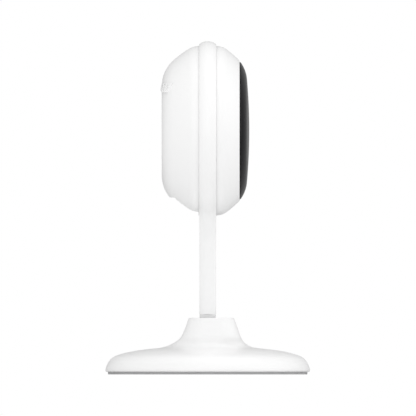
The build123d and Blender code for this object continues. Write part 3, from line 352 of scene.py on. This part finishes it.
def skin(name, rings):
    """Draws a skin ring by ring: each ring is extruded from the last and put in place."""
    deselect()
    bpy.ops.mesh.primitive_circle_add(vertices=len(rings[0]), radius=mm)
    piece = bpy.context.object
    piece.name = name
    piece.data.name = name
    bpy.ops.object.mode_set(mode="EDIT")
    bpy.ops.mesh.select_all(action="SELECT")
    shape = bmesh.from_edit_mesh(piece.data)
    shape.verts.ensure_lookup_table()
    last = list(shape.verts)
    for vertex, point in zip(last, rings[0]):
        vertex.co = point
    bmesh.update_edit_mesh(piece.data)
    order = list(range(len(last)))
    for ring in rings[1:]:
        bpy.ops.mesh.extrude_region_move()
        shape = bmesh.from_edit_mesh(piece.data)
        shape.verts.ensure_lookup_table()
        drawn = {}
        for vertex in shape.verts:
            if vertex.select:
                for edge in vertex.link_edges:
                    other = edge.other_vert(vertex)
                    if not other.select:
                        drawn[other.index] = vertex
        new = [drawn[index] for index in order]
        for vertex, point in zip(new, ring):
            vertex.co = point
        shape.verts.index_update()
        order = [vertex.index for vertex in new]
        bmesh.update_edit_mesh(piece.data)
    bpy.ops.mesh.select_all(action="SELECT")
    bpy.ops.mesh.remove_doubles(threshold=weld)
    bpy.ops.mesh.normals_make_consistent(inside=False)
    bpy.ops.object.mode_set(mode="OBJECT")
    return piece


def cut(piece, cutter):
    """Cuts one piece with another and takes the second away."""
    deselect()
    piece.select_set(True)
    bpy.context.view_layer.objects.active = piece
    tool = piece.modifiers.new("cut", "BOOLEAN")
    tool.operation = "DIFFERENCE"
    tool.solver = "EXACT"
    tool.object = cutter
    bpy.ops.object.modifier_apply(modifier=tool.name)
    bpy.data.objects.remove(cutter)


def block(name, low, high):
    """A block between two corners, to cut with."""
    deselect()
    bpy.ops.mesh.primitive_cube_add(size=1, location=(low + high) / 2)
    piece = bpy.context.object
    piece.name = name
    piece.data.name = name
    piece.scale = high - low
    bpy.ops.object.transform_apply(location=True, rotation=True, scale=True)
    return piece


# Height, reach to the back, reach to the front, all from the stem's middle plane.
neck_rows = (
    (19.2, 6.80, 9.35),
    (18.2, 7.15, 9.75),
    (16.8, 7.65, 10.30),
    (15.4, 8.20, 10.75),
    (14.0, 8.85, 11.25),
    (13.3, 9.20, 11.52),
    (12.6, 9.72, 11.85),
    (11.9, 10.50, 12.25),
    (11.2, 11.55, 12.80),
    (10.5, 12.85, 13.60),
    (10.1, 13.75, 14.25),
    (9.75, 14.75, 15.05),
    (9.45, 15.95, 16.10),
    (9.20, 17.35, 17.35),
)
neck_half_x = 10.6
neck_corner = 5.5
neck_edge = 0.6
neck_top, neck_back, neck_front = neck_rows[0]
neck_end = neck_rows[-1][0]
neck_blend_start = 13.6
neck_half_y = 8.07
corner_growth = 0.55
slot_half_x = 6.8
slot_back = 5.54
slot_front = 8.30
slot_corner = 1.0
# Radius and height of the dome from the flare's foot out to the rim, and of the inside.
dome_rows = (
    (19.3, 9.01),
    (21.4, 8.80),
    (23.4, 8.55),
    (25.3, 8.26),
    (27.1, 7.93),
    (28.7, 7.58),
    (30.2, 7.18),
    (31.4, 6.80),
    (32.4, 6.40),
    (33.2, 5.96),
    (33.85, 5.46),
    (34.35, 4.90),
    (34.75, 4.30),
    (35.10, 3.65),
    (35.40, 3.00),
    (35.62, 2.40),
    (35.76, 1.80),
    (35.80, 1.40),
    (35.70, 1.12),
    (35.50, 0.96),
    (35.30, 0.90),
    (33.60, 0.90),
    (33.60, 3.20),
    (31.5, 4.15),
    (28.5, 5.20),
    (25.0, 6.05),
    (21.0, 6.65),
    (17.5, 6.90),
)
roof = 6.9
# Height and outward growth of the slot's walls, from the roof up to their rounded mouth.
slot_walls = ((roof, 0), (19.5, 0), (19.7, 0.08), (19.8, 0.3))
hinge_room_low = Vector((-8.4, -4.2, 6.0)) * mm
hinge_room_high = Vector((8.4, 4.2, 12.7)) * mm


def neck_ring(rise, back, front, inset=0.0):
    """One level section of the neck: rounded rectangle above, full circle at its foot."""
    blend = max(0.0, min(1.0, (neck_blend_start - rise) / (neck_blend_start - neck_end)))
    blend = blend * blend * (3 - 2 * blend)
    half_y = (front + back) / 2
    half_x = half_y + (1 - blend) * (neck_half_x - (neck_back + neck_front) / 2)
    corner = neck_corner + (half_y - neck_half_y) * corner_growth
    corner += blend * (half_y - corner)
    return rounded_ring(
        (half_x - inset) * mm,
        (half_y - inset) * mm,
        (corner - inset) * mm,
        (back - front) / 2 * mm,
        rise * mm,
    )


cover_rings = []
for turn in (90, 72, 54, 36, 18):
    lift = neck_edge * math.sin(math.radians(turn))
    draw_in = neck_edge * (1 - math.cos(math.radians(turn)))
    cover_rings.append(neck_ring(neck_top + lift, neck_back, neck_front, draw_in))
cover_rings += [neck_ring(*row) for row in neck_rows]
cover_rings += [
    rounded_ring(radius * mm, radius * mm, radius * mm, 0, rise * mm) for radius, rise in dome_rows
]
slot_half_y = (slot_front + slot_back) / 2
slot_shift = (slot_back - slot_front) / 2
for rise, grow in slot_walls:
    cover_rings.append(
        rounded_ring(
            (slot_half_x + grow) * mm,
            (slot_half_y + grow) * mm,
            (slot_corner + grow) * mm,
            slot_shift * mm,
            rise * mm,
        )
    )
cover_rings.append(cover_rings[0])
base_cover = skin("flared_base", cover_rings)
cut(base_cover, block("hinge_room", hinge_room_low, hinge_room_high))
white_plastic, shader = grained(
    "white_plastic", (0.83, 0.83, 0.83), (0.81, 0.81, 0.81), 30, 3000, 0.3, 0.42, 0.12, 0.00003
)
settle(base_cover, white_plastic, "base", ["base_cover"])

# ============================================================ stem's tongue
# Grey acetal knuckle that turns on the hinge pin. Its plug is bonded into the stem, so
# only a short band of it shows between the stem's foot and the neck. Its grey is darker than the
# white mouldings: partly its own tone, partly painted shade for the band at the stem's foot.
# Darker grey than the white plastic, partly painted shade where the stem's foot meets the neck.
tongue_grey_and_painted_shade, shader = grained(
    "tongue_grey_and_painted_shade", (0.74, 0.74, 0.74), (0.70, 0.70, 0.70), 60, 3000, 0.35, 0.5, 0.12, 0.00003
)
repaint("stem_tongue", tongue_grey_and_painted_shade)

# ============================================================ ring and stem
# One white moulding: a slim ring round the head's waist that runs down into the stem. Its
# outside is crowned from front to back, and its inside is part of a ball.
ring_low, ring_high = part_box("ring_stem")
head_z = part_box("rear_shell")[0].z / 2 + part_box("rear_shell")[1].z / 2
ring_outer = ring_high.z - head_z
ring_half = ring_high.y
ring_inner = 30.15 * mm
stem_foot = ring_low.z
stem_half = 6.5 * mm
flare = 14.0 * mm
crown = 4.6 * mm
ring_steps = 96
flare_steps = 24
flare_x = stem_half + flare
flare_z = head_z - math.sqrt((ring_outer + flare) ** 2 - flare_x**2)
flare_turn = math.degrees(math.atan2(flare_z - head_z, flare_x))


def stem_slice(depth):
    """The outline of ring and stem at one depth, drawn in by the crown."""
    draw_in = crown - math.sqrt(crown**2 - depth**2)
    points = round_over((0, head_z), ring_outer - draw_in, 90, flare_turn, ring_steps)
    flare_arc = round_over((flare_x, flare_z), flare + draw_in, flare_turn + 180, 180, flare_steps)
    points += flare_arc[1:]
    points.append((stem_half - draw_in, stem_foot))
    mirrored = [(-x, z) for x, z in reversed(points[1:])]
    return [Vector((x, depth, z)) for x, z in points + mirrored]


slices = 18
depths = [ring_half * math.sin(math.radians(90 * i / slices)) for i in range(-slices, slices + 1)]
ring_stem = skin("ring_and_stem", [stem_slice(depth) for depth in depths])
deselect()
ring_stem.select_set(True)
bpy.context.view_layer.objects.active = ring_stem
bpy.ops.object.mode_set(mode="EDIT")
bpy.ops.mesh.select_mode(type="EDGE")
bpy.ops.mesh.select_all(action="DESELECT")
bpy.ops.mesh.select_non_manifold()
bpy.ops.mesh.edge_face_add()
bpy.ops.mesh.select_all(action="SELECT")
bpy.ops.mesh.normals_make_consistent(inside=False)
bpy.ops.mesh.select_mode(type="VERT")
bpy.ops.object.mode_set(mode="OBJECT")
deselect()
bpy.ops.mesh.primitive_uv_sphere_add(
    segments=192, ring_count=96, radius=ring_inner, location=(0, 0, head_z)
)
ball = bpy.context.object
bpy.ops.object.transform_apply(location=True, rotation=True, scale=True)
cut(ring_stem, ball)
settle(ring_stem, white_plastic, "stem", ["ring_stem"])

# ============================================================ pivots of the head
# Two steel stub pins pressed into the ring, in flanged brass bushes that the shells clamp.
# Wave washers press on the bushes and hold the head's tilt.
brass, shader = grained(
    "turned_brass", (0.72, 0.55, 0.28), (0.62, 0.45, 0.2), 300, 4200, 0.22, 0.4, 0.15, 0.00002
)
shader.inputs["Metallic"].default_value = 1.0
repaint("pivot_bushes", brass)
for node in ("pivot_pins", "pivot_springs"):
    repaint(node, rolled_steel)

# ============================================================ rear shell
# White ABS moulding, the back of the head: sound slots under hooded ribs, the sunken channel
# of the power socket, the card slot beside the ring and the reset button's hole.
repaint("rear_shell", white_plastic)

# ============================================================ boards and chassis
# Black chassis, green circuit boards with their chips, can, card socket and speaker. They are
# screwed together inside the two shells.
black_plastic, shader = grained(
    "black_plastic", (0.030, 0.030, 0.032), (0.022, 0.022, 0.024), 80, 2800, 0.42, 0.6, 0.2, 0.00004
)
for node in ("chassis", "lens_holder", "speaker"):
    repaint(node, black_plastic)
black_rubber, shader = grained(
    "black_rubber", (0.035, 0.035, 0.035), (0.022, 0.022, 0.022), 90, 2400, 0.6, 0.85, 0.25, 0.00005
)
for node in ("microphone_boot", "light_seal"):
    repaint(node, black_rubber)
foam, shader = grained(
    "black_foam", (0.09, 0.09, 0.095), (0.05, 0.05, 0.052), 500, 1800, 0.8, 0.95, 0.6, 0.00012
)
for node in ("window_tape", "heat_pad", "speaker_gasket"):
    repaint(node, foam)
solder_mask, shader = grained(
    "solder_mask", (0.03, 0.17, 0.09), (0.02, 0.11, 0.06), 700, 2400, 0.25, 0.42, 0.25, 0.00004
)
for node in ("main_board", "lamp_board", "socket_board"):
    repaint(node, solder_mask)
epoxy, shader = grained(
    "chip_epoxy", (0.055, 0.055, 0.06), (0.035, 0.035, 0.04), 400, 5200, 0.45, 0.65, 0.2, 0.00002
)
for node in ("image_sensor", "light_sensor", "processor", "reset_switch"):
    repaint(node, epoxy)
for node in ("chassis_screws", "board_screws", "lamp_board_screws", "shield_can", "microphone"):
    repaint(node, zinc)
repaint("card_socket", rolled_steel)
copper, shader = grained(
    "printed_copper", (0.72, 0.40, 0.24), (0.6, 0.3, 0.16), 400, 3600, 0.3, 0.45, 0.15, 0.00002
)
shader.inputs["Metallic"].default_value = 1.0
repaint("aerial", copper)
clear_epoxy, shader = grained(
    "clear_epoxy", (0.86, 0.88, 0.9), (0.78, 0.8, 0.83), 600, 3000, 0.08, 0.16, 0.05, 0.00001
)
shader.inputs["Transmission Weight"].default_value = 0.6
for node in ("infrared_lamps", "status_lamp"):
    repaint(node, clear_epoxy)

# ============================================================ lens
# Black anodised barrel with stepped baffles, screwed into its holder, and coated glasses: a
# domed one in its mouth and a smaller one behind. A thin filter lies over the sensor.
def forwards(radius, depth):
    """A point of an outline that turns about the head's own axis."""
    return Vector((0, -depth, head_z + radius))


barrel_low, barrel_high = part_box("lens_barrel")
barrel_front = -barrel_low.y
barrel_back = -barrel_high.y
barrel_bore = 4.02 * mm
thread_outer = 6.0 * mm
thread_root = 5.82 * mm
thread_pitch = 0.35 * mm
thread_fall = 0.17 * mm
thread_end = 6.0 * mm
collar_outer = 7.3 * mm
collar_back = 6.4 * mm
mouth_bore = 5.02 * mm
mouth_floor = 8.8 * mm
barrel_outline = [
    (barrel_bore, barrel_back),
    (5.7 * mm, barrel_back),
    (thread_outer, barrel_back + 0.3 * mm),
]
thread = barrel_back + 0.8 * mm
while thread < thread_end:
    barrel_outline += [(thread_outer, thread), (thread_root, thread + thread_fall)]
    thread += thread_pitch
barrel_outline += [
    (thread_outer, collar_back),
    (collar_outer - 0.1 * mm, collar_back),
    (collar_outer, collar_back + 0.1 * mm),
    (collar_outer, barrel_front - 0.4 * mm),
    (7.22 * mm, barrel_front - 0.15 * mm),
    (7.0 * mm, barrel_front),
    (6.62 * mm, barrel_front),
    (6.55 * mm, barrel_front - 0.05 * mm),
    (6.3 * mm, barrel_front - 0.3 * mm),
    (6.05 * mm, barrel_front - 0.3 * mm),
    (5.8 * mm, barrel_front - 0.6 * mm),
    (5.6 * mm, barrel_front - 0.6 * mm),
    (5.35 * mm, barrel_front - 0.9 * mm),
    (mouth_bore, barrel_front - 1.15 * mm),
    (mouth_bore, mouth_floor),
    (barrel_bore, mouth_floor),
    (barrel_bore, barrel_back),
]
barrel = lathe("lens_tube", barrel_outline, forwards, 128)
anodised, shader = grained(
    "black_anodised", (0.02, 0.02, 0.021), (0.013, 0.013, 0.014), 200, 4200, 0.28, 0.45, 0.15, 0.00002
)
shader.inputs["Specular IOR Level"].default_value = 0.6
settle(barrel, anodised, "head", ["lens_barrel"], 25)

glass_outline = [(0, 8.85 * mm), (4.9 * mm, 8.85 * mm), (4.98 * mm, 8.93 * mm)]
glass_outline += [(4.98 * mm, 9.25 * mm)]
glass_outline += round_over((0, 1.0 * mm), 9.65 * mm, 58.7, 90, 24)
front_glass = lathe("front_glass", glass_outline, forwards, 96)
rear_glass_outline = [(0, 3.85 * mm), (3.9 * mm, 3.85 * mm), (3.98 * mm, 3.95 * mm)]
rear_glass_outline += [(3.98 * mm, 4.8 * mm)]
rear_glass_outline += round_over((0, -2.0 * mm), 7.8 * mm, 59.4, 90, 16)
rear_glass = lathe("rear_glass", rear_glass_outline, forwards, 96)
coated_glass, shader, texture = toned(
    "coated_glass", (0.90, 0.84, 0.97), (0.80, 0.86, 0.95), 90, 1500, 0.01, 0.04
)
shader.inputs["Base Color"].default_value = (0.86, 0.82, 0.93, 1)
shader.inputs["Roughness"].default_value = 0.02
shader.inputs["IOR"].default_value = 1.6
shader.inputs["Transmission Weight"].default_value = 1.0
settle(front_glass, coated_glass, "head", ["lens_glasses"])
settle(rear_glass, coated_glass, "head", ["lens_glasses"])
repaint("infrared_filter", coated_glass)

# ============================================================ front shell
# White ABS moulding, the front of the head: a bellied rim that ends in a fine rounded lip
# round the window, with a ledge behind it that the window is taped to.
waist = 29.85
band_half = 5.4
band_blend = 6.0
corner_rise = 17.0
front_corner = 11.8
front_centre = 2.0
dome_depth = 14.55
dome_reach = dome_depth - front_centre
dome_round = (dome_reach**2 + corner_rise**2 - front_corner**2) / (2 * (dome_reach - front_corner))
dome_centre = dome_depth - dome_round
dome_turn = math.degrees(math.atan2(corner_rise, front_centre - dome_centre))
belly_end = 47
band_edge = math.sqrt(waist**2 - band_half**2)
belly_turn = math.radians(90 - belly_end)
belly_top = (
    corner_rise + front_corner * math.cos(belly_turn),
    front_centre + front_corner * math.sin(belly_turn),
)
belly_reach = (band_edge - belly_top[0], band_half - belly_top[1])
belly_lean = -belly_reach[0] * math.cos(belly_turn) - belly_reach[1] * math.sin(belly_turn)
belly_round = (belly_reach[0] ** 2 + belly_reach[1] ** 2) / (2 * belly_lean)
belly_middle = (
    belly_top[0] - belly_round * math.cos(belly_turn),
    belly_top[1] - belly_round * math.sin(belly_turn),
)
# A blend arc rounds the edge between the ball and the belly, touching both from inside.
blend_span = math.hypot(*belly_middle)
blend_near = waist - band_blend
blend_far = belly_round - band_blend
blend_along = (blend_near**2 - blend_far**2 + blend_span**2) / (2 * blend_span)
blend_across = math.sqrt(blend_near**2 - blend_along**2)
blend_unit = (belly_middle[0] / blend_span, belly_middle[1] / blend_span)
blend_middle = (
    blend_along * blend_unit[0] - blend_across * blend_unit[1],
    blend_along * blend_unit[1] + blend_across * blend_unit[0],
)
blend_start = math.degrees(math.atan2(blend_middle[1], blend_middle[0]))
blend_end = math.degrees(
    math.atan2(blend_middle[1] - belly_middle[1], blend_middle[0] - belly_middle[0])
)


def belly(inset, count):
    """The front shell's outline from its parting line to the window, as (radius, depth)."""
    outline = round_over((0, 0), waist - inset, 0, blend_start, 8)
    outline += round_over(blend_middle, band_blend - inset, blend_start, blend_end, 8)[1:]
    turn = 90 - belly_end
    outline += round_over(belly_middle, belly_round - inset, blend_end, turn, count // 2)[1:]
    last = 90 - dome_turn
    outline += round_over((corner_rise, front_centre), front_corner - inset, turn, last, count)[1:]
    return outline


def dome(inset, count):
    """The window's outline from the belly's end to the crown, as (radius, depth)."""
    return round_over((0, dome_centre), dome_round - inset, 90 - dome_turn, 90, count)


def within(outline, least, most):
    """The part of an outline between two radii, with its cut ends added."""
    kept = []
    for before, after in zip(outline, outline[1:]):
        for limit in (most, least):
            if (before[0] - limit) * (after[0] - limit) < 0:
                share = (limit - before[0]) / (after[0] - before[0])
                kept.append((limit, before[1] + share * (after[1] - before[1])))
        if least <= after[0] <= most:
            kept.append(after)
    if least <= outline[0][0] <= most:
        kept.insert(0, outline[0])
    return kept


opening = 24.25
lip = 0.22
shell_wall = 1.8
tape_back = 1.8
ledge_back = 3.0
ledge_inner = opening - 2.6
outer = within(belly(0, 40), opening + lip, waist)
lip_depth = outer[-1][1]
tape_face = within(belly(tape_back, 40) + dome(tape_back, 20)[1:], ledge_inner, opening)
ledge_face = within(belly(ledge_back, 40) + dome(ledge_back, 20)[1:], ledge_inner, 99)
ledge_root = opening + 1.2
bush_hole_radius = 2.52 * mm
bush_hole_length = 2.2 * waist * mm
wall_face = within(belly(shell_wall, 40), ledge_root + 1.0, waist)
shell_outline = list(outer)
shell_outline += [
    (opening + 0.10, lip_depth + 0.02),
    (opening + 0.02, lip_depth - 0.06),
    (opening, lip_depth - 0.18),
]
shell_outline += tape_face
shell_outline += [(ledge_inner, ledge_face[-1][1])]
shell_outline += list(reversed([point for point in ledge_face if point[0] < ledge_root]))
shell_outline += list(reversed(wall_face))
shell_outline += [shell_outline[0]]
front_shell = lathe(
    "front_rim", [(radius * mm, depth * mm) for radius, depth in shell_outline], forwards, 192
)
deselect()
bpy.ops.mesh.primitive_cylinder_add(
    vertices=48,
    radius=bush_hole_radius,
    depth=bush_hole_length,
    location=(0, 0, head_z),
    rotation=(0, math.radians(90), 0),
)
bush_hole = bpy.context.object
bpy.ops.object.transform_apply(location=True, rotation=True, scale=True)
cut(front_shell, bush_hole)
settle(front_shell, white_plastic, "head", ["front_shell"])

# ============================================================ front window
# Polished black acrylic disc, bellied like the shell, with a hole for the clear lens window,
# one for the status light and a pinhole for the microphone.
window_edge = 24.1
window_thick = 1.5
lens_hole = 8.56
window_face = within(belly(0, 48) + dome(0, 40)[1:], lens_hole, window_edge)
window_back = within(belly(window_thick, 48) + dome(window_thick, 40)[1:], lens_hole, window_edge)
edge_round = 0.12
window_outline = [(window_edge, window_back[0][1])]
window_outline += [(window_edge, window_face[0][1] - 2 * edge_round)]
window_outline += [(window_edge - 0.3 * edge_round, window_face[0][1] - edge_round)]
window_outline += [point for point in window_face if point[0] < window_edge - edge_round]
window_outline += list(reversed(window_back))
front_window = lathe(
    "black_window", [(radius * mm, depth * mm) for radius, depth in window_outline], forwards, 192
)
light_drop = 13.2 * mm
light_radius = 0.83 * mm
microphone_drop = 17.2 * mm
microphone_radius = 0.45 * mm
hole_length = 8 * mm
hole_depth = 14 * mm
for hole_name, hole_radius, drop in (
    ("light_hole", light_radius, light_drop),
    ("microphone_hole", microphone_radius, microphone_drop),
):
    deselect()
    bpy.ops.mesh.primitive_cylinder_add(
        vertices=32,
        radius=hole_radius,
        depth=hole_length,
        location=(0, -hole_depth, head_z - drop),
        rotation=(math.radians(90), 0, 0),
    )
    hole = bpy.context.object
    hole.name = hole_name
    bpy.ops.object.transform_apply(location=True, rotation=True, scale=True)
    cut(front_window, hole)
black_window, shader = grained(
    "black_acrylic", (0.006, 0.006, 0.007), (0.004, 0.004, 0.005), 40, 900, 0.03, 0.06, 0.02, 0.00001
)
shader.inputs["IOR"].default_value = 1.45
settle(front_window, black_window, "head", ["front_window"])

# ============================================================ lens window and light pipe
# Clear acrylic disc over the lens, flush with the black one, and a clear rod that carries
# the status light to the window's face.
pane_edge = 8.5
pane_face = within(dome(0, 60), 0, pane_edge)
pane_back = within(dome(window_thick, 60), 0, pane_edge)
pane_outline = [(radius * mm, depth * mm) for radius, depth in pane_face]
pane_outline += [(radius * mm, depth * mm) for radius, depth in reversed(pane_back)]
pane_outline += [pane_outline[0]]
lens_window = lathe("lens_pane", pane_outline, forwards, 96)
clear_acrylic, shader, texture = toned(
    "clear_acrylic", (0.80, 0.82, 0.84), (0.74, 0.76, 0.79), 60, 1200, 0.0, 0.02
)
shader.inputs["IOR"].default_value = 1.3
shader.inputs["Transmission Weight"].default_value = 1.0
settle(lens_window, clear_acrylic, "head", ["lens_window"])
repaint("light_pipe", clear_epoxy)

# ============================================================ power socket
# Steel shell of the power socket, soldered to its own small board, at the end of the sunken
# channel.
repaint("power_socket", zinc)

# ============================================================ reset button
# Pale grey moulded button with a dished face, held in its hole by a flange behind the shell.
# Its plunger presses the switch on the main board.
button_low, button_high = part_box("reset_button")
button_x = (button_low.x + button_high.x) / 2
button_z = (button_low.z + button_high.z) / 2
button_back = button_high.y
button_tip = button_low.y


def backwards(radius, rise):
    """A point of an outline that turns about the button's axis, rising out of the back."""
    return Vector((button_x, rise, button_z + radius))


cap_radius = 2.4 * mm
flange_radius = 3.3 * mm
plunger_radius = 1.2 * mm
button_outline = [
    (0, button_back - 0.22 * mm),
    (0.7 * mm, button_back - 0.2 * mm),
    (1.4 * mm, button_back - 0.11 * mm),
    (1.85 * mm, button_back - 0.02 * mm),
    (2.05 * mm, button_back),
    (2.25 * mm, button_back - 0.05 * mm),
    (2.36 * mm, button_back - 0.16 * mm),
    (cap_radius, button_back - 0.32 * mm),
    (cap_radius, button_back - 1.7 * mm),
    (3.25 * mm, button_back - 1.72 * mm),
    (flange_radius, button_back - 1.8 * mm),
    (flange_radius, button_back - 2.45 * mm),
    (3.2 * mm, button_back - 2.5 * mm),
    (1.3 * mm, button_back - 2.5 * mm),
    (plunger_radius, button_back - 2.6 * mm),
    (plunger_radius, button_tip + 0.15 * mm),
    (1.05 * mm, button_tip),
    (0, button_tip),
]
reset_button = lathe("dished_button", button_outline, backwards, 64)
button_plastic, shader = grained(
    "button_plastic", (0.70, 0.70, 0.70), (0.66, 0.66, 0.66), 90, 3000, 0.35, 0.5, 0.12, 0.00003
)
settle(reset_button, button_plastic, "reset_button", ["reset_button"])
